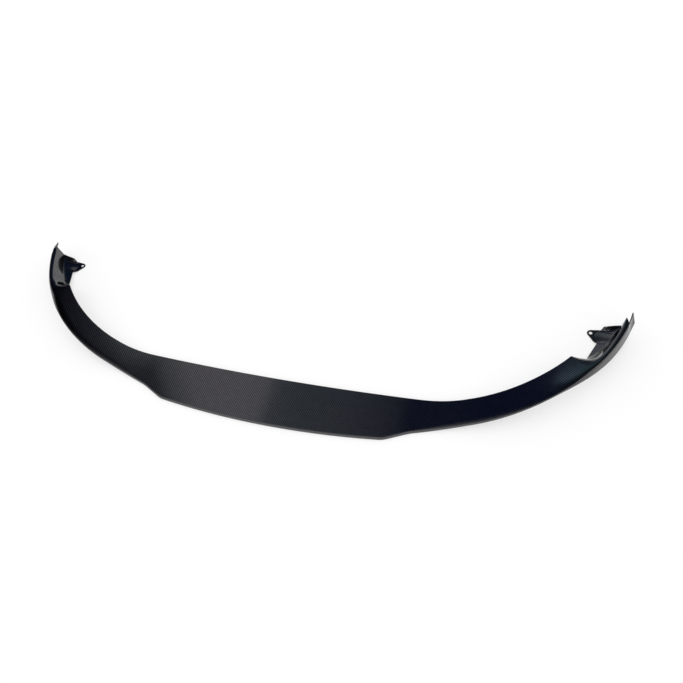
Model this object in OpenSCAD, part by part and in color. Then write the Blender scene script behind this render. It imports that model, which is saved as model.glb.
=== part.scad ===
// Front splitter lip, one moulded carbon-fibre laminate.
// X runs across the car, +Y towards the rear, +Z up. The lip lies on its leading edge and its two tabs.
// The outside surface is a grid: one row for each station along the crest line, one column for each
// place across the section. The laminate lies between that grid and the same grid set in along its normals.

/* [Laminate] */
// Thickness of the laminate
skin_t = 2.6; // [2:0.1:3]
// Height of the rolled leading edge
edge_h = 8; // [7:0.5:12]

/* [Centre blade] */
// Radius of the leading edge in plan
front_r = 2340; // [1900:20:3000]
// Half width of the leading edge, up to the step corner
corner_x = 307; // [280:1:320]
// Depth of the blade on the centre line
blade_depth = 133.7; // [120:0.1:145]
// Radius of the blade's rear edge in plan
rear_r = 7700; // [6000:100:10000]
// Distance from the centre line at which the rear edge starts to bend into the wing
bend_x = 381; // [350:1:400]
// Width of the rolled edge, seen from above
edge_roll = 6; // [5:0.5:10]

/* [Step corner] */
// Length of the chamfer behind the step corner
chamfer_l = 68; // [56:1:80]
// Angle of the chamfer to the car's width
chamfer_angle = 26; // [22:0.5:30]
// How far the chamfer's two ends are rounded
corner_round = 12; // [8:1:22]

/* [Wing] */
// Angle of the wing's straight part to the car's width
wing_angle = 17.2; // [15:0.2:19]
// Length of the wing's straight part
wing_straight = 155.5; // [130:0.5:175]
// Radius of the wing's swept part, on the crest line
wing_r = 515; // [480:1:550]
// Width of the wing where the sweep starts
wing_w = 68.5; // [62:0.5:74]
// Width of the wing at the notch
notch_w = 60; // [54:0.5:64]
// Height that the wing climbs above the centre blade
wing_rise = 53; // [44:1:62]
// Width of the rolled edge on the wing, seen from above
wing_roll = 24; // [14:1:28]

/* [Outer skin] */
// Turn of the sweep at which the outer skin starts to deepen, in degrees from the car's width
skin_angle = 38.6; // [34:0.2:44]
// Height of the outer skin at the tip
skin_h = 33.5; // [26:0.5:40]
// How far the outer skin flares out at its foot
skin_flare = 8.5; // [5:0.5:12]
// How far the spike runs behind the end of the crest
spike_l = 42; // [36:1:48]
// How far the spike stands inwards of the crest line
spike_in = 4.5; // [1:0.5:7]
// How far the spike lies below the crest
spike_drop = 10; // [7:0.5:14]
// How far the foot of the outer skin runs behind the end of the crest
heel_l = 29; // [22:1:34]

/* [Pocket] */
// Turn of the sweep at the notch in the wing's inner edge
notch_angle = 51.2; // [49:0.2:53]
// Further turn from the notch to the inner corner of the pocket
ramp_turn = 5.4; // [4.6:0.1:6.4]
// Further turn from that corner to the root of the tab
pocket_turn = 7.7; // [7:0.1:9]
// Further turn from the root of the tab to the end of the crest
tail_turn = 7; // [6.4:0.1:7.8]
// How far the ramp's top leads round the sweep at the crest
top_lead = 1.5; // [1:0.1:2.5]
// How far the ramp's foot, at the crest, lies round the sweep from the inner corner
foot_lead = 4.4; // [3.8:0.1:5]
// Width of the pocket at its inner corner
corner_w = 40.3; // [37:0.1:44]
// Width of the pocket at the root of the tab
root_w = 48.2; // [44:0.2:51]
// Height of the floor at the foot of the pocket's wall
floor_h = 19; // [16:0.5:23]
// Height of the floor at the inner corner
corner_h = 16; // [13:0.5:19]
// Height of the floor at the root of the tab
root_h = 8; // [6:0.5:10]
// Width of the band on top of the pocket's wall, at its rear end
band_w = 14; // [12:0.5:17]
// Distance of the wall's foot inwards from the crest line, at its rear end
wall_foot_w = 18.5; // [18:0.5:22]
// Distance of the wall's foot inwards from the crest line, at the foot of the ramp
scoop_w = 31; // [26:0.5:34]
// How far the band runs behind the end of the crest
fang_l = 12; // [8:0.5:16]
// How far the rim turns up behind the floor
rim_h = 13; // [9:0.5:16]
// How far inwards of the crest line the rim ends
rim_w = 54; // [50:0.5:57]

/* [Tab] */
// Diameter of the fastener hole
hole_d = 9; // [5:0.5:10]
// Laminate left around the hole
hole_wall = 4.5; // [3:0.1:5.5]
// Distance of the hole inwards from the crest line
hole_w = 76.2; // [73:0.2:79]
// Distance of the hole ahead of the end of the crest
hole_l = 29.4; // [25:0.1:31]

/* [Hidden] */
laminate = [0.09, 0.10, 0.12];
hole_facets = 32;
cut_over = 5;

// Stations in each stretch of one half, from the centre line outwards
n_front = 7;
n_round = 4;
n_straight = 5;
n_sweep = 14;
n_ramp = 10;
n_pocket = 3;
n_tab = 4;
n_tip = 4;
n_tail = 4;

// Roundings of the section, each wider than the laminate is thick
tight = 1.65 * skin_t;
band_gap = 2.1 * skin_t;
foot_round = 2.3 * skin_t;
tip_r = hole_d / 2 + hole_wall;
// Flat run between the rounded brow and foot on the blade, and how far both stay rounded there
blade_run = 2.4 * band_gap;
blade_round = 0.3;
brow_cut = 0.8 * band_gap;
brow_start = 0.2 * band_gap;
// The most of a leg that a rounding takes
leg_share = 0.8;
crest_shares = [0, 0.33, 0.67, 1];
bend_shares = [0, 0.5, 1];

// Shares of the pocket's floor, from the wall to the inner edge; the rim ends at rim_share
rim_share = 0.60;
tab_share = 0.66;
floor_shares = [0.15, 0.30, 0.45, rim_share, tab_share, 0.83, 1];

// The wide roll narrows from so many degrees behind the skin's start to so many ahead of the ramp's foot
roll_lag = 5;
roll_lead = 2;
// Shares of the turn behind the tab's root: end of the pocket's shelf, end of the tab's lower edge,
// start of the tail
shelf_share = 0.15;
low_tab_share = 0.54;
tail_share = 0.78;
// Share of the ramp that ends at the inner corner, and of the way from there to the tab's root at its foot
corner_share = 0.6;
ramp_share = 0.45;
// Share of the tab's round end that lies ahead of the tail
turn_share = 0.6;
// How fast the wall's foot swings outwards
scoop_power = 1.5;

// The rear edge of the tip: the spike's flank and root along its length, and the root's inset
flank_share = 0.42;
flank_drop = 0.4;
root_share = 0.1;
root_in = 2;
// How far the heel turns up
heel_rise = 2;
// The band's rear end, before the fang
band_share = 0.62;
band_run = 0.6;
// The wall behind the fang, and the height of its foot as a share of the rim
wall_shares = [0.2, 0.8];
foot_rise = 0.4;
// The rim: its slope in plan, its middle and its end
rim_slope = 0.2;
rim_in = 2;
rim_middle = 0.48;
rim_bow = 3;
rim_fall = 0.85;
rim_shares = [0, 0.08, 0.25, 0.5, 0.75, 1];
tab_in = 2.5;

function mix(a, b, t) = a + (b - a) * t;
function clamp01(t) = max(0, min(1, t));
function ease(t) = let (u = clamp01(t)) u * u * (3 - 2 * u);
function dir(a) = [cos(a), sin(a)];
function inward(a) = [-sin(a), cos(a)];
function lift(p, z) = [p[0], p[1], z];
function toward(a, b, l) = mix(a, b, l / norm(b - a));
// Quadratic curve from a to c with its handle at b
function quad(a, b, c, t) = mix(mix(a, b, t), mix(b, c, t), t);

// Crest line in plan: front arc, chamfer, straight, sweep
function front_y(x) = front_r - sqrt(front_r * front_r - x * x);
step_p = [corner_x, front_y(corner_x)];
wing_p = step_p + chamfer_l * dir(chamfer_angle);
sweep_p = wing_p + wing_straight * dir(wing_angle);
sweep_c = sweep_p + wing_r * inward(wing_angle);
front_a = asin(corner_x / front_r);
function inside(a, w) = sweep_c - (wing_r - w) * inward(a);
function crest_at(a) = inside(a, 0);

// Turns of the sweep at its marks, on the inner edge and on the crest
corner_a = notch_angle + ramp_turn;
root_a = corner_a + pocket_turn;
tail_a = root_a + tail_turn;
fold_a = notch_angle + top_lead;
ramp_a = corner_a + foot_lead;
shelf_a = root_a + shelf_share * tail_turn;
low_tab_a = root_a + low_tab_share * tail_turn;
tip_a = root_a + tail_share * tail_turn;

// A place beside the end of the crest: w inwards and l behind it
function behind(w, l) = crest_at(tail_a) + w * inward(tail_a) + l * dir(tail_a);

// Rear edge of the blade: an arc, then a cubic added to it that runs into the wing's inner edge
meet_p = inside(wing_angle, wing_w);
function arc_y(x) = blade_depth + rear_r - sqrt(rear_r * rear_r - x * x);
bend_rise = meet_p[1] - arc_y(meet_p[0]);
bend_slope = tan(wing_angle) - meet_p[0] / rear_r;
bend_l = meet_p[0] - bend_x;
function rear_y(x) = let (t = clamp01((x - bend_x) / bend_l), end = bend_slope * bend_l)
    arc_y(x) + (3 * bend_rise - end) * t * t + (end - 2 * bend_rise) * t * t * t;
function rear_at(x) = let (u = x * meet_p[0] / sweep_p[0]) [u, rear_y(u)];

// Height of the blade above the ground, from the distance to the centre line
climb_from = wing_p[0];
climb_to = inside(notch_angle, 0)[0];
function climb(x) = edge_h + wing_rise * ease((x - climb_from) / (climb_to - climb_from));
skin_from = crest_at(skin_angle)[0];
skin_to = crest_at(tail_a)[0];
function skin_grow(x) = ease((x - skin_from) / (skin_to - skin_from));

// Width of the roll at the crest, and of the band from the crest to the pocket's wall
roll_from = skin_angle + roll_lag;
roll_to = ramp_a - roll_lead;
function roll_at(c, a) = let (wide = mix(edge_roll, wing_roll, ease((c[0] - climb_from) / wing_straight)))
    mix(wide, tight, ease((a - roll_from) / (roll_to - roll_from)));
function band_at(c, a) = roll_at(c, a)
    + mix(band_gap, band_w - tight, clamp01((a - ramp_a) / (tail_a - ramp_a)));
// The wall's foot swings outwards behind the ramp
function foot_at(a) = let (t = clamp01((a - ramp_a) / (tail_a - ramp_a)))
    wall_foot_w + (scoop_w - wall_foot_w) * pow(1 - t, scoop_power);

// The tab: its lower edge touches the tip's circle, and so does the edge behind it
root_p = inside(root_a, root_w);
notch_p = inside(notch_angle, notch_w);
corner_p = inside(corner_a, corner_w);
ramp_p = mix(corner_p, root_p, ramp_share);
ramp_z = mix(corner_h, root_h, ramp_share);
hole_p = behind(hole_w, -hole_l);
rim_p = behind(rim_w, rim_in - rim_slope * rim_w);
to_root = root_p - hole_p;
to_rim = rim_p - hole_p;
low_a = atan2(to_root[1], to_root[0]) - acos(tip_r / norm(to_root));
high_a = atan2(to_rim[1], to_rim[0]) + acos(tip_r / norm(to_rim)) - 360;
turn_a = mix(low_a, high_a, turn_share);
function tip_at(a) = hole_p + tip_r * dir(a);

// A station: crest and inner edge in plan, the crest's heading, how far the pocket is sunk (0 to 1),
// height of the inner edge, share of the floor over which it falls to that height
function blade_station(c, a, p) = [c, p, a, 0, climb(p[0]), 1];
function end_station(a, p, deep, z, fall) = [crest_at(a), p, a, deep, z, fall];

in_p = [corner_x - corner_round, front_y(corner_x - corner_round)];
out_p = step_p + corner_round * dir(chamfer_angle);
bend_in = wing_p - corner_round * dir(chamfer_angle);
bend_out = wing_p + corner_round * dir(wing_angle);
front_stations = [for (i = [0:n_front]) let (x = in_p[0] * i / n_front, c = [x, front_y(x)])
    blade_station(c, asin(x / front_r), rear_at(x))];
step_stations = [for (i = [1:n_round]) let (t = i / n_round, c = quad(in_p, step_p, out_p, t))
    blade_station(c, mix(front_a, chamfer_angle, t), rear_at(c[0]))];
bend_stations = [for (i = [0:n_round]) let (t = i / n_round, c = quad(bend_in, wing_p, bend_out, t))
    blade_station(c, mix(chamfer_angle, wing_angle, t), rear_at(c[0]))];
straight_stations = [for (i = [1:n_straight]) let (t = i / n_straight, c = mix(bend_out, sweep_p, t))
    blade_station(c, wing_angle, rear_at(c[0]))];
// On the sweep the rows lean forwards, more and more, until the last one is the top of the ramp
function wing_edge(b) = inside(b, mix(wing_w, notch_w, (b - wing_angle) / (notch_angle - wing_angle)));
sweep_stations = [for (i = [1:n_sweep]) let (t = i / n_sweep, a = mix(wing_angle, fold_a, t))
    blade_station(crest_at(a), a, wing_edge(a - top_lead * t * t))];
// The ramp's inner edge drops to the inner corner of the pocket and goes on a little way behind it
corner_i = round(corner_share * n_ramp);
function ramp_edge(i) = i <= corner_i
    ? lift(mix(notch_p, corner_p, i / corner_i), mix(climb(notch_p[0]), corner_h, i / corner_i))
    : mix(lift(corner_p, corner_h), lift(ramp_p, ramp_z), (i - corner_i) / (n_ramp - corner_i));
ramp_stations = [for (i = [1:n_ramp]) let (t = i / n_ramp, e = ramp_edge(i))
    end_station(mix(fold_a, ramp_a, t), [e[0], e[1]], ease(t), e[2], 1)];
pocket_stations = [for (i = [1:n_pocket]) let (t = i / n_pocket)
    end_station(mix(ramp_a, shelf_a, t), mix(ramp_p, root_p, t), 1, mix(ramp_z, root_h, t), 1)];
tab_stations = [for (i = [1:n_tab]) let (t = i / n_tab, drop = ease(2 * t), z = mix(root_h, skin_t, drop))
    end_station(mix(shelf_a, low_tab_a, t), mix(root_p, tip_at(low_a), t), 1, z, mix(1, tab_share, drop))];
tip_stations = [for (i = [1:n_tip]) let (t = i / n_tip)
    end_station(mix(low_tab_a, tip_a, t), tip_at(mix(low_a, turn_a, t)), 1, skin_t, tab_share)];
stations = concat(front_stations, step_stations, bend_stations, straight_stations, sweep_stations,
    ramp_stations, pocket_stations, tab_stations, tip_stations);

// A corner at b, cut by l1 and l2 at most and rounded with one point more than there are shares
function fillet(a, b, c, l1, l2, shares) = let (
    s = toward(b, a, min(l1, leg_share * norm(a - b))),
    e = toward(b, c, min(l2, leg_share * norm(c - b)))
) [for (t = shares) quad(s, b, e, t)];

// One section: foot of the outer skin, crest, band, wall, floor, inner edge
function row(s) = let (
    c = s[0], p = s[1], a = s[2], deep = s[3], z3 = s[4], fall = s[5],
    z = climb(c[0]),
    grow = skin_grow(c[0]),
    out = -inward(a),
    across = norm(p - c),
    lean = across / max(1, (p - c) * inward(a)),
    roll = roll_at(c, a) * lean,
    w1 = band_at(c, a) * lean,
    w2 = mix(w1 + blade_run, foot_at(a) * lean, deep),
    blade_z = climb(p[0]),
    p0 = lift(c + skin_flare * grow * out, z - mix(edge_h, skin_h, grow)),
    p1 = lift(c, z),
    pb = lift(mix(c, p, w1 / across), mix(z, blade_z, w1 / across)),
    p2 = lift(mix(c, p, w2 / across), mix(mix(z, blade_z, w2 / across), floor_h, deep)),
    p3 = lift(p, z3),
    crest = fillet(p0, p1, pb, roll, roll, crest_shares),
    brow = fillet(p1, pb, p2, w1 - roll - brow_start, brow_cut, bend_shares),
    foot = fillet(pb, p2, p3, mix(blade_round, 1, deep) * foot_round, foot_round, bend_shares),
    rest = [for (f = floor_shares)
        lift(mix(foot[2], p3, f), mix(foot[2][2], z3, min(1, f / fall)))]
) concat([p0, mix(p0, crest[0], 0.5)], crest, brow, foot, rest);

blade_rows = [for (s = stations) row(s)];
last = blade_rows[len(blade_rows) - 1];

// The rear edge of the tip: heel, spike, notch, fang, wall, rim, tab
top_z = edge_h + wing_rise;
foot_z = floor_h + foot_rise * rim_h;
heel = lift(behind(-skin_flare, heel_l), top_z - skin_h + heel_rise);
spike = lift(behind(spike_in, spike_l), top_z - spike_drop);
fang = lift(behind(band_w, fang_l), top_z);
wall_foot = lift(behind(wall_foot_w, fang_l - 1), foot_z);
rim_end = lift(rim_p, root_h + rim_fall * rim_h);
rim_mid = lift(behind(mix(wall_foot_w, rim_w, rim_middle), rim_bow - fang_l), floor_h + rim_h);
tab_foot = lift(rim_p - [tab_in, 0], skin_t);
tab_end = lift(tip_at(high_a), skin_t);
rear_edge = concat(
    [heel, mix(heel, spike, 0.5), spike],
    [lift(behind(root_in, flank_share * spike_l), top_z - flank_drop * spike_drop)],
    [lift(behind(root_in, root_share * spike_l), top_z - root_share * spike_drop)],
    [lift(behind(tight, 0), top_z), lift(behind(band_share * band_w, band_run * fang_l), top_z), fang],
    [for (t = wall_shares) mix(fang, wall_foot, t)],
    [for (t = rim_shares) quad(wall_foot, rim_mid, rim_end, t)],
    [tab_foot, mix(tab_foot, tab_end, 0.5), tab_end]);

function tail_z(a, b, t) = mix(a, b, b > a ? t * t : t);
tail_rows = [for (i = [1:n_tail]) let (t = i / n_tail)
    [for (j = [0:len(last) - 1]) j == len(last) - 1
        ? lift(tip_at(mix(turn_a, high_a, t)), skin_t)
        : lift(mix(last[j], rear_edge[j], t), tail_z(last[j][2], rear_edge[j][2], t))]];

half = concat(blade_rows, tail_rows);
n_half = len(half);
n_col = len(last);
function mirrored(r) = [for (p = r) [-p[0], p[1], p[2]]];
grid = concat([for (i = [n_half - 1:-1:1]) mirrored(half[i])], half);
n_row = len(grid);

// Outward normal at a grid point, from its neighbours along and across
function normal(i, j) = let (
    along = grid[min(i + 1, n_row - 1)][j] - grid[max(i - 1, 0)][j],
    across = grid[i][min(j + 1, n_col - 1)] - grid[i][max(j - 1, 0)],
    n = cross(along, across)
) n / norm(n);
outside = [for (i = [0:n_row - 1]) for (j = [0:n_col - 1]) grid[i][j]];
underside = [for (i = [0:n_row - 1]) for (j = [0:n_col - 1]) grid[i][j] - skin_t * normal(i, j)];

function at(i, j) = i * n_col + j;
function under(i, j) = at(i, j) + n_row * n_col;
// Two triangles for the four corners a, b, c, d, split the same way on both halves of the lip
function pair(a, b, c, d, flip) = flip ? [[a, b, d], [b, c, d]] : [[a, b, c], [a, c, d]];

module shell() {
    skin = [for (i = [0:n_row - 2]) for (j = [0:n_col - 2]) let (flip = i < n_half - 1)
        for (f = pair(at(i, j), at(i, j + 1), at(i + 1, j + 1), at(i + 1, j), flip)) f];
    lining = [for (i = [0:n_row - 2]) for (j = [0:n_col - 2]) let (flip = i < n_half - 1)
        for (f = pair(under(i, j), under(i + 1, j), under(i + 1, j + 1), under(i, j + 1), !flip)) f];
    front = [for (i = [0:n_row - 2])
        for (f = pair(at(i, 0), at(i + 1, 0), under(i + 1, 0), under(i, 0), false)) f];
    rear = [for (i = [0:n_row - 2]) let (j = n_col - 1)
        for (f = pair(at(i, j), under(i, j), under(i + 1, j), at(i + 1, j), false)) f];
    left = [for (j = [0:n_col - 2])
        for (f = pair(at(0, j), under(0, j), under(0, j + 1), at(0, j + 1), false)) f];
    right = [for (j = [0:n_col - 2]) let (i = n_row - 1)
        for (f = pair(at(i, j), at(i, j + 1), under(i, j + 1), under(i, j), false)) f];
    polyhedron(concat(outside, underside), concat(skin, lining, front, rear, left, right));
}

module hole(side) {
    translate([side * hole_p[0], hole_p[1], -cut_over])
        cylinder(h = skin_t + 2 * cut_over, d = hole_d, $fn = hole_facets);
}

// The origin lies on the ground at the middle of the lip's width and depth
module front_lip() {
    color(laminate) translate([0, -spike[1] / 2, 0]) difference() {
        shell();
        hole(-1);
        hole(1);
    }
}

front_lip();
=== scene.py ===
import bpy
import numpy as np
from mathutils import Matrix, Vector


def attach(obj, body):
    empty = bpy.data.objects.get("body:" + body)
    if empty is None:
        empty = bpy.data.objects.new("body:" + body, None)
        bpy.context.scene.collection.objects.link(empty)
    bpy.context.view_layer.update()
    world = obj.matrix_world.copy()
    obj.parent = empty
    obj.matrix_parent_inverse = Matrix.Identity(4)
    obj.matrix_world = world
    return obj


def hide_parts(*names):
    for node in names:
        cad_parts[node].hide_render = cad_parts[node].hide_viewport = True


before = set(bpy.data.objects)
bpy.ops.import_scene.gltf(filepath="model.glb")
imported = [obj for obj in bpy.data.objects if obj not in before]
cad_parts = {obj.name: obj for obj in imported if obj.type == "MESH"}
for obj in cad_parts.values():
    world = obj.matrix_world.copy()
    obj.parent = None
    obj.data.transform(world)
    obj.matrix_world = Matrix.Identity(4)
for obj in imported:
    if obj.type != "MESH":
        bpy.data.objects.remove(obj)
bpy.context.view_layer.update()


# Lip: one moulded carbon-fibre laminate under the car's nose. Its cloth is laid in the mould, trimmed to the
# outline and finished under a gloss clear coat. Its outside is a grid in millimetres: one row for each
# station along the crest line and one column for each place across the section.
SKIN_T = 2.6
EDGE_H = 8.0
FRONT_R = 2340.0
CORNER_X = 307.0
BLADE_DEPTH = 133.7
REAR_R = 7700.0
BEND_X = 381.0
EDGE_ROLL = 6.0
CHAMFER_L = 68.0
CHAMFER_ANGLE = np.radians(26)
CORNER_ROUND = 12.0
WING_ANGLE = np.radians(17.2)
WING_STRAIGHT = 155.5
WING_R = 515.0
WING_W = 68.5
NOTCH_W = 60.0
WING_RISE = 53.0
WING_ROLL = 24.0
SKIN_ANGLE = np.radians(38.6)
SKIN_H = 33.5
SKIN_FLARE = 8.5
SPIKE_L = 42.0
SPIKE_IN = 4.5
SPIKE_DROP = 10.0
HEEL_L = 29.0
NOTCH_ANGLE = np.radians(51.2)
RAMP_TURN = np.radians(5.4)
POCKET_TURN = np.radians(7.7)
TAIL_TURN = np.radians(7)
TOP_LEAD = np.radians(1.5)
FOOT_LEAD = np.radians(4.4)
CORNER_W = 40.3
ROOT_W = 48.2
FLOOR_H = 19.0
CORNER_H = 16.0
ROOT_H = 8.0
BAND_W = 14.0
WALL_FOOT_W = 18.5
SCOOP_W = 31.0
FANG_L = 12.0
RIM_H = 13.0
RIM_W = 54.0
HOLE_D = 9.0
HOLE_WALL = 4.5
HOLE_W = 76.2
HOLE_L = 29.4
TIP_R = HOLE_D / 2 + HOLE_WALL
# Roundings of the section, each wider than the laminate is thick
TIGHT = 1.65 * SKIN_T
BAND_GAP = 2.1 * SKIN_T
FOOT_ROUND = 2.3 * SKIN_T
# Flat run between the rounded brow and foot on the blade, and how far both stay rounded there
BLADE_RUN = 2.4 * BAND_GAP
BLADE_ROUND = 0.3
BROW_CUT = 0.8 * BAND_GAP
BROW_START = 0.2 * BAND_GAP
# The most of a leg that a rounding takes
LEG_SHARE = 0.8
# The wide roll narrows from a little behind the skin's start to a little ahead of the ramp's foot.
ROLL_LAG = np.radians(5)
ROLL_LEAD = np.radians(2)
# Shares of the turn behind the tab's root: end of the pocket's shelf, end of the tab's lower edge, start
# of the tail
SHELF_SHARE = 0.15
LOW_TAB_SHARE = 0.54
TAIL_SHARE = 0.78
# Share of the ramp that ends at the inner corner, and of the way from there to the tab's root at its foot
CORNER_SHARE = 0.6
RAMP_SHARE = 0.45
# Share of the tab's round end that lies ahead of the tail
TURN_SHARE = 0.6
# How fast the wall's foot swings outwards
SCOOP_POWER = 1.5
# Shares of the pocket's floor, from the wall: the rim's end, and the end of the fall to the tab
RIM_SHARE = 0.60
TAB_SHARE = 0.66
# The rear edge of the tip: the spike's flank and root along its length, the root's inset, and how far the
# heel turns up
FLANK_SHARE = 0.42
FLANK_DROP = 0.4
ROOT_SHARE = 0.1
ROOT_IN = 2
HEEL_RISE = 2
# The band's rear end before the fang, the wall behind the fang, and the wall's foot
BAND_SHARE = 0.62
BAND_RUN = 0.6
WALL_SHARES = [0.2, 0.8]
FOOT_IN = 1
FOOT_RISE = 0.4
# The rim: its slope in plan, its middle, its end and the places along it, and the tab's inset beside it
RIM_SLOPE = 0.2
RIM_IN = 2
RIM_MIDDLE = 0.48
RIM_BOW = 3
RIM_FALL = 0.85
RIM_SHARES = [0, 0.08, 0.25, 0.5, 0.75, 1]
TAB_IN = 2.5


def mix(a, b, t):
    """a + (b - a) * t"""
    return a + (b - a) * t


def ease(t):
    """3 t^2 - 2 t^3, held at 0 and 1 outside that range"""
    u = np.clip(t, 0, 1)
    return u * u * (3 - 2 * u)


def heading(a):
    """The unit vector at an angle: (cos a, sin a)"""
    return np.stack([np.cos(a), np.sin(a)], -1)


def inward(a):
    """The heading turned a quarter turn to the left: (-sin a, cos a)"""
    return np.stack([-np.sin(a), np.cos(a)], -1)


def lift(p, z):
    """A place in plan, given its height"""
    return np.concatenate([p, np.broadcast_to(np.asarray(z, float)[..., None], p.shape[:-1] + (1,))], -1)


def quad(a, b, c, t):
    """Quadratic curve from a to c with its handle at b"""
    return mix(mix(a, b, t), mix(b, c, t), t)


def front_y(x):
    """Depth of the front arc: r - sqrt(r^2 - x^2)"""
    return FRONT_R - np.sqrt(FRONT_R**2 - x**2)


step_p = np.array([CORNER_X, front_y(CORNER_X)])
wing_p = step_p + CHAMFER_L * heading(CHAMFER_ANGLE)
sweep_p = wing_p + WING_STRAIGHT * heading(WING_ANGLE)
sweep_c = sweep_p + WING_R * inward(WING_ANGLE)
front_a = np.arcsin(CORNER_X / FRONT_R)


def inside(a, w):
    """A place on the sweep: the centre less (radius - w) along the inward normal at a"""
    return sweep_c - (WING_R - np.asarray(w)[..., None]) * inward(a)


corner_a = NOTCH_ANGLE + RAMP_TURN
root_a = corner_a + POCKET_TURN
tail_a = root_a + TAIL_TURN
fold_a = NOTCH_ANGLE + TOP_LEAD
ramp_a = corner_a + FOOT_LEAD
shelf_a = root_a + SHELF_SHARE * TAIL_TURN
low_tab_a = root_a + LOW_TAB_SHARE * TAIL_TURN
tip_a = root_a + TAIL_SHARE * TAIL_TURN


def behind(w, l):
    """A place beside the end of the crest: w inwards of it and l behind it"""
    return inside(tail_a, 0.0) + w * inward(tail_a) + l * heading(tail_a)


meet_p = inside(WING_ANGLE, WING_W)


def arc_y(x):
    """Depth of the blade's rear arc: depth + r - sqrt(r^2 - x^2)"""
    return BLADE_DEPTH + REAR_R - np.sqrt(REAR_R**2 - x**2)


bend_rise = meet_p[1] - arc_y(meet_p[0])
bend_end = (np.tan(WING_ANGLE) - meet_p[0] / REAR_R) * (meet_p[0] - BEND_X)


def rear_at(x):
    """The rear edge beside a crest point: the arc, and past BEND_X a cubic added to it, which starts flat
    and ends at bend_rise with the wing's slope"""
    u = np.asarray(x) * meet_p[0] / sweep_p[0]
    past = np.clip((u - BEND_X) / (meet_p[0] - BEND_X), 0, 1)
    bend = (3 * bend_rise - bend_end) * past**2 + (bend_end - 2 * bend_rise) * past**3
    return np.stack([u, arc_y(u) + bend], -1)


climb_from = wing_p[0]
climb_to = inside(NOTCH_ANGLE, 0.0)[0]
skin_from = inside(SKIN_ANGLE, 0.0)[0]
skin_to = inside(tail_a, 0.0)[0]


def climb(x):
    """Height of the blade: edge height, and the rise eased in from the wing's root to the notch"""
    return EDGE_H + WING_RISE * ease((x - climb_from) / (climb_to - climb_from))


def roll_at(x, a):
    """Width of the rolled edge: narrow on the blade, wide on the wing, tight beside the pocket"""
    wide = mix(EDGE_ROLL, WING_ROLL, ease((x - climb_from) / WING_STRAIGHT))
    narrow_from, narrow_to = SKIN_ANGLE + ROLL_LAG, ramp_a - ROLL_LEAD
    return mix(wide, TIGHT, ease((a - narrow_from) / (narrow_to - narrow_from)))


root_p = inside(root_a, ROOT_W)
notch_p = inside(NOTCH_ANGLE, NOTCH_W)
corner_p = inside(corner_a, CORNER_W)
ramp_p = mix(corner_p, root_p, RAMP_SHARE)
ramp_z = mix(CORNER_H, ROOT_H, RAMP_SHARE)
hole_p = behind(HOLE_W, -HOLE_L)
rim_p = behind(RIM_W, RIM_IN - RIM_SLOPE * RIM_W)


def touch(p, side):
    """Angle at which the line from p touches the circle round the hole, on the side given by +1 or -1"""
    d = p - hole_p
    return np.arctan2(d[1], d[0]) + side * np.arccos(TIP_R / np.hypot(*d))


low_a = touch(root_p, -1)
high_a = touch(rim_p, 1) - 2 * np.pi
turn_a = mix(low_a, high_a, TURN_SHARE)


def tip_at(a):
    """A place on the circle round the hole"""
    return hole_p + TIP_R * heading(a)


def stretch(c, p, a, deep, z, fall):
    """Stations side by side: crest, inner edge, heading, how far the pocket is sunk, the inner edge's
    height, and the share of the floor over which it falls to that height"""
    n = len(c)
    return np.column_stack([c, p] + [np.broadcast_to(v, n) for v in (a, deep, z, fall)])


def steps(n):
    """n even steps up to 1, leaving out 0"""
    return np.arange(1, n + 1) / n


def blade_part(c, a):
    """Stations of the blade: each crest point's inner edge is the rear edge beside it, at the blade's
    height there"""
    p = rear_at(c[:, 0])
    return stretch(c, p, a, 0, climb(p[:, 0]), 1)


# Stations in each stretch of the crest, from the middle of the lip to its tip
FRONT_N = 40
ROUND_N = 9
CHAMFER_N = 11
STRAIGHT_N = 20
SWEEP_N = 64
RAMP_N = 30
POCKET_N = 10
TAB_N = 12
TIP_N = 12
TAIL_N = 16

in_p = np.array([CORNER_X - CORNER_ROUND, front_y(CORNER_X - CORNER_ROUND)])
out_p = step_p + CORNER_ROUND * heading(CHAMFER_ANGLE)
bend_in = wing_p - CORNER_ROUND * heading(CHAMFER_ANGLE)
bend_out = wing_p + CORNER_ROUND * heading(WING_ANGLE)
x = in_p[0] * np.arange(FRONT_N + 1) / FRONT_N
front_part = blade_part(np.column_stack([x, front_y(x)]), np.arcsin(x / FRONT_R))
t = steps(ROUND_N)
step_part = blade_part(quad(in_p, step_p, out_p, t[:, None]), mix(front_a, CHAMFER_ANGLE, t))
t = np.linspace(0, 1, CHAMFER_N + 1)[1:]
chamfer_part = blade_part(mix(out_p, bend_in, t[:, None]), CHAMFER_ANGLE)
t = steps(ROUND_N)
bend_part = blade_part(quad(bend_in, wing_p, bend_out, t[:, None]), mix(CHAMFER_ANGLE, WING_ANGLE, t))
t = steps(STRAIGHT_N)
straight_part = blade_part(mix(bend_out, sweep_p, t[:, None]), WING_ANGLE)
t = steps(SWEEP_N)
a = mix(WING_ANGLE, fold_a, t)
b = a - TOP_LEAD * t * t
p = inside(b, mix(WING_W, NOTCH_W, (b - WING_ANGLE) / (NOTCH_ANGLE - WING_ANGLE)))
sweep_part = stretch(inside(a, 0 * a), p, a, 0, climb(p[:, 0]), 1)
t = steps(RAMP_N)
edge = np.array([lift(notch_p, climb(notch_p[0])), lift(corner_p, CORNER_H), lift(ramp_p, ramp_z)])
e = np.column_stack([np.interp(t, [0, CORNER_SHARE, 1], edge[:, k]) for k in range(3)])
a = mix(fold_a, ramp_a, t)
ramp_part = stretch(inside(a, 0 * a), e[:, :2], a, ease(t), e[:, 2], 1)
t = steps(POCKET_N)
a = mix(ramp_a, shelf_a, t)
pocket_part = stretch(inside(a, 0 * a), mix(ramp_p, root_p, t[:, None]), a, 1, mix(ramp_z, ROOT_H, t), 1)
t = steps(TAB_N)
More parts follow.
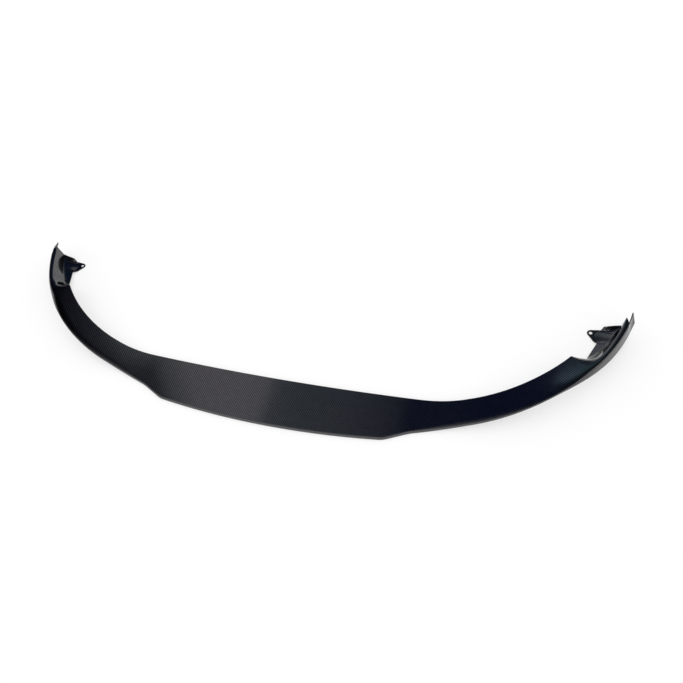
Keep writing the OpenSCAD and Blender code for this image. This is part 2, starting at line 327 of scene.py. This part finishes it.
a = mix(shelf_a, low_tab_a, t)
tab_part = stretch(inside(a, 0 * a), mix(root_p, tip_at(low_a), t[:, None]), a, 1,
                   mix(ROOT_H, SKIN_T, ease(2 * t)), mix(1, TAB_SHARE, ease(2 * t)))
t = steps(TIP_N)
a = mix(low_tab_a, tip_a, t)
tip_part = stretch(inside(a, 0 * a), tip_at(mix(low_a, turn_a, t)), a, 1, SKIN_T, TAB_SHARE)
stations = np.concatenate([front_part, step_part, chamfer_part, bend_part, straight_part, sweep_part,
                           ramp_part, pocket_part, tab_part, tip_part])


def cut(b, a, l):
    """The place l from b towards a, at most LEG_SHARE of the way"""
    reach = np.linalg.norm(a - b, axis=-1)
    return b + (a - b) * (np.minimum(l, LEG_SHARE * reach) / reach)[:, None]


# Places across the section are numbered from 0 at the skin's foot to the inner edge. Each stretch from the
# foot to the floor has its first and last number and its count of columns.
STRETCHES = [(0, 2, 7), (2, 5, 9), (5, 6, 4), (6, 8, 8), (8, 9, 5), (9, 11, 8)]
CREST_END = 5
FLOOR_START = 11
INNER_EDGE = 18
FLOOR_N = 29
FLOOR_KNOTS = [0, 0.15, 0.30, 0.45, RIM_SHARE, TAB_SHARE, 0.83, 1]
COLUMNS = np.concatenate([np.linspace(low, high, count + 1)[:-1] for low, high, count in STRETCHES]
                         + [np.linspace(FLOOR_START, INNER_EDGE, FLOOR_N)])
CREST_COLUMN = int(np.argmin(abs(COLUMNS - CREST_END)))


def section(s):
    """Sections of the laminate: foot of the outer skin, rounded crest, band, rounded brow, wall,
    rounded foot, floor, inner edge. Straight runs between corners that quadratic curves round off."""
    c, p = s[:, 0:2], s[:, 2:4]
    a, deep, z3, fall = s[:, 4], s[:, 5], s[:, 6], s[:, 7]
    z = climb(c[:, 0])
    grow = ease((c[:, 0] - skin_from) / (skin_to - skin_from))
    across = np.linalg.norm(p - c, axis=1)
    lean = across / np.maximum(1, ((p - c) * inward(a)).sum(1))
    done = np.clip((a - ramp_a) / (tail_a - ramp_a), 0, 1)
    roll = roll_at(c[:, 0], a) * lean
    w1 = roll + mix(BAND_GAP, BAND_W - TIGHT, done) * lean
    w2 = mix(w1 + BLADE_RUN, (WALL_FOOT_W + (SCOOP_W - WALL_FOOT_W) * (1 - done)**SCOOP_POWER) * lean, deep)
    blade_z = climb(p[:, 0])
    p0 = lift(c - SKIN_FLARE * grow[:, None] * inward(a), z - mix(EDGE_H, SKIN_H, grow))
    p1 = lift(c, z)
    pb = lift(mix(c, p, (w1 / across)[:, None]), mix(z, blade_z, w1 / across))
    p2 = lift(mix(c, p, (w2 / across)[:, None]), mix(mix(z, blade_z, w2 / across), FLOOR_H, deep))
    p3 = lift(p, z3)
    s1, e1 = cut(p1, p0, roll), cut(p1, pb, roll)
    s2, e2 = cut(pb, p1, w1 - roll - BROW_START), cut(pb, p2, BROW_CUT)
    s3, e3 = cut(p2, pb, mix(BLADE_ROUND, 1, deep) * FOOT_ROUND), cut(p2, p3, FOOT_ROUND)

    legs = [(p0, s1), (s1, p1, e1), (e1, s2), (s2, pb, e2), (e2, s3), (s3, p2, e3)]
    parts = []
    for (low, high, _), ends in zip(STRETCHES, legs):
        u = COLUMNS[(COLUMNS >= low) & (COLUMNS < high)]
        curve = mix if len(ends) == 2 else quad
        parts.append(curve(*[end[:, None] for end in ends], ((u - low) / (high - low))[None, :, None]))
    knots = range(FLOOR_START, INNER_EDGE + 1)
    share = np.interp(COLUMNS[COLUMNS >= FLOOR_START], knots, FLOOR_KNOTS)[None, :]
    flat = mix(e3[:, None], p3[:, None], share[..., None])
    drop = mix(e3[:, None, 2], z3[:, None], np.minimum(1, share / fall[:, None]))
    return np.concatenate(parts + [lift(flat[..., :2], drop)], 1)


blade_rows = section(stations)
last = blade_rows[-1]

top_z = EDGE_H + WING_RISE
wall_foot = lift(behind(WALL_FOOT_W, FANG_L - FOOT_IN), FLOOR_H + FOOT_RISE * RIM_H)
rim_end = lift(rim_p, ROOT_H + RIM_FALL * RIM_H)
rim_mid = lift(behind(mix(WALL_FOOT_W, RIM_W, RIM_MIDDLE), RIM_BOW - FANG_L), FLOOR_H + RIM_H)
heel = lift(behind(-SKIN_FLARE, HEEL_L), top_z - SKIN_H + HEEL_RISE)
spike = lift(behind(SPIKE_IN, SPIKE_L), top_z - SPIKE_DROP)
fang = lift(behind(BAND_W, FANG_L), top_z)
tab_foot = lift(rim_p - [TAB_IN, 0], SKIN_T)
tab_end = lift(tip_at(high_a), SKIN_T)
rear_edge = np.array([
    heel, mix(heel, spike, 0.5), spike,
    lift(behind(ROOT_IN, FLANK_SHARE * SPIKE_L), top_z - FLANK_DROP * SPIKE_DROP),
    lift(behind(ROOT_IN, ROOT_SHARE * SPIKE_L), top_z - ROOT_SHARE * SPIKE_DROP),
    lift(behind(TIGHT, 0), top_z), lift(behind(BAND_SHARE * BAND_W, BAND_RUN * FANG_L), top_z), fang]
    + [mix(fang, wall_foot, t) for t in WALL_SHARES]
    + [quad(wall_foot, rim_mid, rim_end, t) for t in RIM_SHARES]
    + [tab_foot, mix(tab_foot, tab_end, 0.5), tab_end])
rear = np.column_stack([np.interp(COLUMNS, range(INNER_EDGE + 1), rear_edge[:, k]) for k in range(3)])

t = steps(TAIL_N)
tail_rows = mix(last[None], rear[None], t[:, None, None])
rise = rear[:, 2] > last[:, 2]
tail_rows[..., 2] = mix(last[:, 2], rear[:, 2], np.where(rise, t[:, None]**2, t[:, None]))
tail_rows[:, -1] = lift(tip_at(mix(turn_a, high_a, t)), SKIN_T)


def cloth_map(rows):
    """Where the flat cloth lies on each row: its crest in plan, and from there the length along the
    section in the row's direction. Behind the last row the cloth goes straight on in plan."""
    length = np.cumsum(np.linalg.norm(np.diff(rows, axis=1), axis=-1), 1)
    length = np.pad(length, ((0, 0), (1, 0)))
    length -= length[:, CREST_COLUMN, None]
    way = rows[:, -1, :2] - rows[:, CREST_COLUMN, :2]
    way /= np.linalg.norm(way, axis=1, keepdims=True)
    return rows[:, CREST_COLUMN, None, :2] + length[..., None] * way[:, None]


blade_cloth = cloth_map(blade_rows)
tail_cloth = blade_cloth[-1] + (tail_rows - last)[..., :2]
half = np.concatenate([blade_rows, tail_rows])
half_cloth = np.concatenate([blade_cloth, tail_cloth])
grid = np.concatenate([half[:0:-1] * [-1, 1, 1], half])
cloth = np.concatenate([half_cloth[:0:-1] * [-1, 1], half_cloth])
n_row, n_col = grid.shape[:2]


def unit(v):
    """v / |v|"""
    return v / np.linalg.norm(v, axis=-1, keepdims=True)


def normals(g):
    """Outward normal: the way along the grid crossed with the way across it, from the neighbours"""

    def pad(step, axis):
        """The steps, with the first and the last one repeated"""
        return np.concatenate([step.take([0], axis), step, step.take([-1], axis)], axis)

    step_i, step_j = pad(np.diff(g, axis=0), 0), pad(np.diff(g, axis=1), 1)
    along = step_i[1:] + step_i[:-1]
    across = step_j[:, 1:] + step_j[:, :-1]
    return unit(np.cross(along, across))


normal = normals(grid)
under = grid - SKIN_T * normal
# The two long trimmed edges, the skin's foot and the inner edge, are eased by EASE. Over the face that is
# at most a share of the way to the next column.
EASE = 0.45
EASE_SHARE = 0.4


def eased(edge, next_in, n):
    """A loop of four points round the trimmed edge: face, upper corner, lower corner, lining"""
    gap = np.linalg.norm(edge - next_in, axis=-1, keepdims=True)
    back = (next_in - edge) / gap * np.minimum(EASE, EASE_SHARE * gap)
    return [edge + back, edge - EASE * n, edge - (SKIN_T - EASE) * n, edge - SKIN_T * n + back]


foot_rim = eased(grid[:, 0], grid[:, 1], normal[:, 0])
inner_rim = eased(grid[:, -1], grid[:, -2], normal[:, -1])

# One lattice wraps the whole section: outside from foot to inner edge, round the edge, lining, and back.
face, lining = grid.copy(), under.copy()
face[:, 0], face[:, -1] = foot_rim[0], inner_rim[0]
lining[:, 0], lining[:, -1] = foot_rim[3], inner_rim[3]
ring = np.concatenate([face, inner_rim[1][:, None], inner_rim[2][:, None], lining[:, ::-1],
                       foot_rim[2][:, None], foot_rim[1][:, None]], 1)
inner_cloth, foot_cloth = cloth[:, -1:], cloth[:, :1]
ring_cloth = np.concatenate([cloth, inner_cloth, inner_cloth, cloth[:, ::-1], foot_cloth, foot_cloth], 1)
n_ring = ring.shape[1]

row, col = np.meshgrid(np.arange(n_row - 1) * n_ring, np.arange(n_ring), indexing="ij")
next_col = (col + 1) % n_ring
tube = np.stack([row + col, row + next_col, row + n_ring + next_col, row + n_ring + col], -1).reshape(-1, 4)
# Square caps close its first and last rows at the two tips: each face point is joined to the lining point
# under it.
col = np.arange(n_col - 1)
panels = np.stack([col, 2 * n_col + 1 - col, 2 * n_col - col, col + 1], -1)
edge_caps = [[0, n_ring - 1, n_ring - 2, 2 * n_col + 1], [n_col - 1, n_col + 2, n_col + 1, n_col]]
cap = np.concatenate([panels, edge_caps])
far = cap[:, ::-1] + (n_row - 1) * n_ring
quads = np.concatenate([tube, cap, far])

origin_y = spike[1] / 2
# No point stands above the crest or behind the spikes' tips.
points = np.minimum(ring.reshape(-1, 3) - [0, origin_y, 0], [np.inf, origin_y, top_z]) / 1000
mesh = bpy.data.meshes.new("lip_laminate")
mesh.from_pydata(points.tolist(), [], quads.tolist())
uv = mesh.uv_layers.new(name="cloth")
corner_vertex = np.empty(len(mesh.loops), np.int32)
mesh.loops.foreach_get("vertex_index", corner_vertex)
uv.data.foreach_set("uv", (ring_cloth.reshape(-1, 2)[corner_vertex] / 1000).ravel())
mesh.polygons.foreach_set("use_smooth", np.ones(len(mesh.polygons), bool))
# Faces that meet at more than this angle keep a crisp fold between them.
FOLD = np.radians(38)
mesh.set_sharp_from_angle(angle=FOLD)
lip = bpy.data.objects.new("lip_laminate", mesh)
bpy.context.scene.collection.objects.link(lip)

# Each tab's fastener hole is drilled through the moulded laminate.
DRILL_SIDES = 48
DRILL_FROM = -5.0
DRILL_TO = 8.0
for side in (-1, 1):
    rim_xy = ([side * hole_p[0], hole_p[1] - origin_y]
              + HOLE_D / 2 * heading(np.arange(DRILL_SIDES) * 2 * np.pi / DRILL_SIDES))
    drill = bpy.data.meshes.new("drill")
    wall = np.concatenate([lift(rim_xy, DRILL_FROM), lift(rim_xy, DRILL_TO)]) / 1000
    foot = np.arange(DRILL_SIDES)
    beside = (foot + 1) % DRILL_SIDES
    drill.from_pydata(
        wall.tolist(), [], np.stack([foot, beside, beside + DRILL_SIDES, foot + DRILL_SIDES], 1).tolist()
        + [foot[::-1].tolist(), (foot + DRILL_SIDES).tolist()])
    cutter = bpy.data.objects.new("drill", drill)
    bpy.context.scene.collection.objects.link(cutter)
    bore = lip.modifiers.new("bore", "BOOLEAN")
    bore.operation, bore.solver, bore.object = "DIFFERENCE", "EXACT", cutter
    bpy.context.view_layer.update()
    drilled = bpy.data.meshes.new_from_object(lip.evaluated_get(bpy.context.evaluated_depsgraph_get()))
    lip.modifiers.clear()
    lip.data = drilled
    bpy.data.objects.remove(cutter)
lip.data.name = "lip_laminate"


class Strand:
    """One value that changes over a surface. Arithmetic on it adds the Math node that works it out."""

    def __init__(self, tree, socket):
        self.tree, self.socket = tree, socket

    def node(self, kind, settings=None, **sockets):
        """A node of this kind: its settings are set first, then the values or links of its sockets"""
        made = self.tree.nodes.new(kind)
        for name, value in (settings or {}).items():
            if name == "stops":
                ramp = made.color_ramp.elements
                for at, _ in value[2:]:
                    ramp.new(at)
                for stop, (at, colour) in zip(ramp, value):
                    stop.position, stop.color = at, (*colour, 1)
            else:
                setattr(made, name, value)
        for name, value in sockets.items():
            socket = made.inputs[int(name[1:]) if name[1:].isdigit() else name.replace("_", " ")]
            if isinstance(value, Strand):
                self.tree.links.new(value.socket, socket)
            else:
                socket.default_value = value
        return made

    def out(self, kind, output, settings=None, **sockets):
        """One output of such a node"""
        return Strand(self.tree, self.node(kind, settings, **sockets).outputs[output])

    def math(self, operation, a, b=0.0):
        """The operation on a and b"""
        return self.out("ShaderNodeMath", 0, {"operation": operation}, _0=a, _1=b)

    def __add__(self, other):
        return self.math("ADD", self, other)

    __radd__ = __add__

    def __sub__(self, other):
        return self.math("SUBTRACT", self, other)

    def __rsub__(self, other):
        return self.math("SUBTRACT", other, self)

    def __mul__(self, other):
        return self.math("MULTIPLY", self, other)

    __rmul__ = __mul__

    def __mod__(self, other):
        return self.math("FLOORED_MODULO", self, other)

    def __lt__(self, other):
        return self.math("LESS_THAN", self, other)

    def floor(self):
        return self.math("FLOOR", self)

    def sine(self):
        return self.math("SINE", self)

    def smooth(self, low, high, first=0.0, last=1.0):
        """Goes smoothly from first to last as the value goes from low to high"""
        return self.out("ShaderNodeMapRange", 0, {"interpolation_type": "SMOOTHSTEP"}, _0=self, _1=low,
                        _2=high, _3=first, _4=last)


# Width of a tow, and how far its back stands up
TOW = 0.0034
TOW_RISE = 0.0003

carbon = bpy.data.materials.new("carbon_weave")
carbon.use_nodes = True
carbon.node_tree.nodes.clear()
start = Strand(carbon.node_tree, None)
place = start.out("ShaderNodeUVMap", "UV", {"uv_map": "cloth"})
split = start.node("ShaderNodeSeparateXYZ", _0=place)
warp = Strand(carbon.node_tree, split.outputs["X"]) * (1 / TOW)
weft = Strand(carbon.node_tree, split.outputs["Y"]) * (1 / TOW)
# Plain weave: warp and weft lie on top by turns, cell by cell. A tow is bowed across its width and
# arches along its length where it passes over the other.
over = (warp.floor() + weft.floor()) % 2 < 1
warp_bow = (warp % 1 * np.pi).sine()
weft_bow = (weft % 1 * np.pi).sine()
height = warp_bow * weft_bow
bow = over * warp_bow + (1 - over) * weft_bow
# Painted sheen: the base colour is lighter where a warp tow lies on top and along each tow's bow, as the
# light falls on the cloth here. The fibres in it vary that at random.
fibre = start.out("ShaderNodeTexNoise", "Fac", {"noise_dimensions": "2D"}, Vector=place, Scale=60.0,
                  Detail=3.0)
painted_sheen_and_fibre = over * 0.72 + bow * 0.18 + fibre * 0.2
# Base colour with painted sheen: dark for a weft tow on top, lighter for a warp tow on top.
sheen_colour = start.out("ShaderNodeMix", 2, {"data_type": "RGBA"}, _0=painted_sheen_and_fibre, _6=(0.001, 0.001, 0.0015, 1),
                 _7=(0.112, 0.112, 0.118, 1))
rough = 0.36 - over * 0.08
bump = start.out("ShaderNodeBump", "Normal", Strength=0.12, Distance=TOW_RISE, Height=height)
# The tows shine like dark metal under the coat, but don't brighten at a low angle as bare metal does.
coat = start.out("ShaderNodeBsdfPrincipled", "BSDF", Base_Color=sheen_colour, Roughness=rough, Normal=bump,
                 Metallic=1.0, Specular_Tint=(0.1, 0.1, 0.12, 1), IOR=1.45, Coat_Weight=1.0,
                 Coat_Roughness=0.02, Coat_IOR=1.5)
start.node("ShaderNodeOutputMaterial", Surface=coat)
lip.data.materials.clear()
lip.data.materials.append(carbon)
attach(lip, "root")
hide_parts("front_lip")


# Floor: the plain white table that the lip lies on. About half of its white is matt paint, which takes
# the lip's soft shadow, and the other half is its own light.
TABLE_HALF = 30
TABLE_Z = -0.0004
floor_mesh = bpy.data.meshes.new("floor")
floor_mesh.from_pydata(
    [(TABLE_HALF * x, TABLE_HALF * y, TABLE_Z) for x, y in ((-1, -1), (1, -1), (1, 1), (-1, 1))],
    [], [(0, 1, 2, 3)])
floor = bpy.data.objects.new("floor", floor_mesh)
bpy.context.scene.collection.objects.link(floor)
paper = bpy.data.materials.new("white_table")
paper.use_nodes = True
paper.node_tree.nodes.clear()
table = Strand(paper.node_tree, None)
path = table.node("ShaderNodeLightPath")
camera_ray, glossy_ray, clear_ray = [
    Strand(paper.node_tree, path.outputs[f"Is {kind} Ray"])
    for kind in ("Camera", "Glossy", "Transmission")]
matt = table.out("ShaderNodeBsdfDiffuse", "BSDF", Color=(0.46, 0.46, 0.46, 1))
white = table.out("ShaderNodeEmission", "Emission", Color=(0.55, 0.55, 0.55, 1),
                  Strength=camera_ray + glossy_ray + clear_ray)
table.node("ShaderNodeOutputMaterial", Surface=table.out("ShaderNodeAddShader", 0, _0=matt, _1=white))
floor_mesh.materials.append(paper)


# Light: a plain white room, and over the lip a wide soft panel that the clear coat mirrors. The panel is
# bright over the left half of the blade and dark over the wings, and its rear end hangs down to the table.
PANEL_HALF = 1.5
PANEL_FRONT = -0.35
PANEL_REAR = 1.9
PANEL_Z = 0.4
panel_mesh = bpy.data.meshes.new("soft_panel")
panel_mesh.from_pydata([
    (-PANEL_HALF, PANEL_FRONT, PANEL_Z), (PANEL_HALF, PANEL_FRONT, PANEL_Z),
    (PANEL_HALF, PANEL_REAR, PANEL_Z), (-PANEL_HALF, PANEL_REAR, PANEL_Z),
    (PANEL_HALF, PANEL_REAR, 0), (-PANEL_HALF, PANEL_REAR, 0)],
    [], [(0, 1, 2, 3), (3, 2, 4, 5)])
panel = bpy.data.objects.new("soft_panel", panel_mesh)
bpy.context.scene.collection.objects.link(panel)
glow = bpy.data.materials.new("panel_glow")
glow.use_nodes = True
glow.node_tree.nodes.clear()
lamp = Strand(glow.node_tree, None)
where = lamp.node("ShaderNodeSeparateXYZ", _0=lamp.out("ShaderNodeTexCoord", "Object"))
east, north = Strand(glow.node_tree, where.outputs["X"]), Strand(glow.node_tree, where.outputs["Y"])


def strip(at, *levels):
    """The panel's light along its length: a ramp through (place in metres, colour) pairs"""
    stops = [((x + PANEL_HALF) / (2 * PANEL_HALF), colour) for x, colour in levels]
    return lamp.out("ShaderNodeValToRGB", "Color", {"stops": stops},
                    Fac=(at + PANEL_HALF) * (1 / (2 * PANEL_HALF)))


def blend(share, a, b):
    """Colour a, and colour b where the share is 1"""
    return lamp.out("ShaderNodeMix", 2, {"data_type": "RGBA"}, _0=share, _6=a, _7=b)


# Along the lip it has four zones: dim over the left wing, bright over the left half of the blade, grey
# over the right half and nearly dark over the right wing. Left of the blade they end on a slanted line.
# All places on the panel are in metres, and smooth() says between which two of them a zone fades.
slant = east + 0.864 * north * east.smooth(-0.5, -0.3, 1.0, 0.0)
over_blade = strip(
    slant, (-0.79, (0.01, 0.01, 0.02)), (-0.76, (0.05, 0.05, 0.08)), (-0.58, (0.08, 0.09, 0.12)),
    (-0.53, (0.32, 0.36, 0.39)), (-0.43, (0.62, 0.59, 0.62)), (-0.19, (0.65, 0.63, 0.70)),
    (-0.15, (0.21, 0.26, 0.30)), (0.09, (0.19, 0.22, 0.27)), (0.27, (0.10, 0.12, 0.16)),
    (0.30, (0.01, 0.02, 0.09)), (0.64, (0.02, 0.03, 0.10)), (0.90, (0.02, 0.03, 0.04)))
# Ahead of the lip, where the rolled edge looks.
ahead = strip(
    east, (-0.6, (0.20, 0.20, 0.23)), (-0.45, (0.58, 0.59, 0.62)), (-0.2, (0.58, 0.59, 0.62)),
    (-0.1, (0.28, 0.30, 0.33)), (0.6, (0.22, 0.23, 0.27)), (0.74, (0.06, 0.07, 0.09)))
# Behind the lip, where the pockets look, with one bright spot behind the right wing.
far_back = strip(
    east, (-1.0, (0.02, 0.03, 0.08)), (-0.7, (0.03, 0.06, 0.15)), (-0.1, (0.16, 0.20, 0.28)),
    (0.5, (0.13, 0.17, 0.21)), (0.63, (0.85, 0.90, 0.94)), (0.7, (0.26, 0.31, 0.36)),
    (0.88, (0.03, 0.05, 0.07)))
# The panel's far end, where the ramps at the notches look.
far_end = strip(
    east, (-0.85, (0.03, 0.04, 0.06)), (-0.5, (0.30, 0.34, 0.38)), (0.0, (0.40, 0.45, 0.52)),
    (0.5, (0.49, 0.50, 0.58)), (0.9, (0.06, 0.07, 0.09)))
# A pale green-blue field over the right wing's end. Three slanted lines and a straight one bound it.
teal = ((east - 0.43 * north).smooth(0.492, 0.522) * (east - 2.14 * north).smooth(0.156, 0.216)
        * (north + 0.498 * east).smooth(0.49, 0.56) * east.smooth(0.88, 0.95, 1.0, 0.0))
# A corner outside the left wing, with most of its light gone.
CORNER_LOSS = 0.85
corner = (north + 0.727 * east).smooth(-0.503, -0.487, 1.0, 0.0) * north.smooth(-0.12, -0.04)
shade = blend(teal, over_blade, strip(east, (0.73, (0.34, 0.50, 0.66)), (0.80, (0.18, 0.29, 0.35))))
shade = blend(north.smooth(-0.16, -0.06), ahead, blend(north.smooth(0.31, 0.38), shade, far_back))
shade = blend(north.smooth(0.85, 0.95), shade, far_end)
lamp.node("ShaderNodeOutputMaterial", Surface=lamp.out("ShaderNodeEmission", "Emission", Color=shade,
                                                       Strength=1 - CORNER_LOSS * corner))
panel_mesh.materials.append(glow)
panel.visible_camera = False
panel.visible_shadow = False
panel.visible_diffuse = False

# The room is white all round, so everything matt is lit evenly.
world = bpy.data.worlds.new("room")
bpy.context.scene.world = world
world.use_nodes = True
world.node_tree.nodes.clear()
room = Strand(world.node_tree, None)
plain = room.out("ShaderNodeBackground", "Background", Color=(1, 1, 1, 1), Strength=1.0)
room.node("ShaderNodeOutputWorld", Surface=plain)


# Camera: above the lip's front, to the right of its middle, at the viewing angle of the photograph. It aims
# at a place on the table and is rolled a little about that line. Its focal length is 600 pixels of the
# photograph's frame.
EYE = Vector((0.5359, -0.7830, 1.3554))
AIM = Vector((0.1338, 0.0509, 0.0))
ROLL = np.radians(-13.2)
FOCAL = 600
FRAME = 683
camera_data = bpy.data.cameras.new("camera")
camera_data.sensor_width = 36.0
camera_data.lens = FOCAL * camera_data.sensor_width / FRAME
camera = bpy.data.objects.new("camera", camera_data)
bpy.context.scene.collection.objects.link(camera)
sight = (AIM - EYE).to_track_quat("-Z", "Y").to_matrix().to_4x4()
camera.matrix_world = Matrix.Translation(EYE) @ sight @ Matrix.Rotation(ROLL, 4, "Z")
bpy.context.scene.camera = camera
bpy.context.scene.view_settings.view_transform = "Standard"
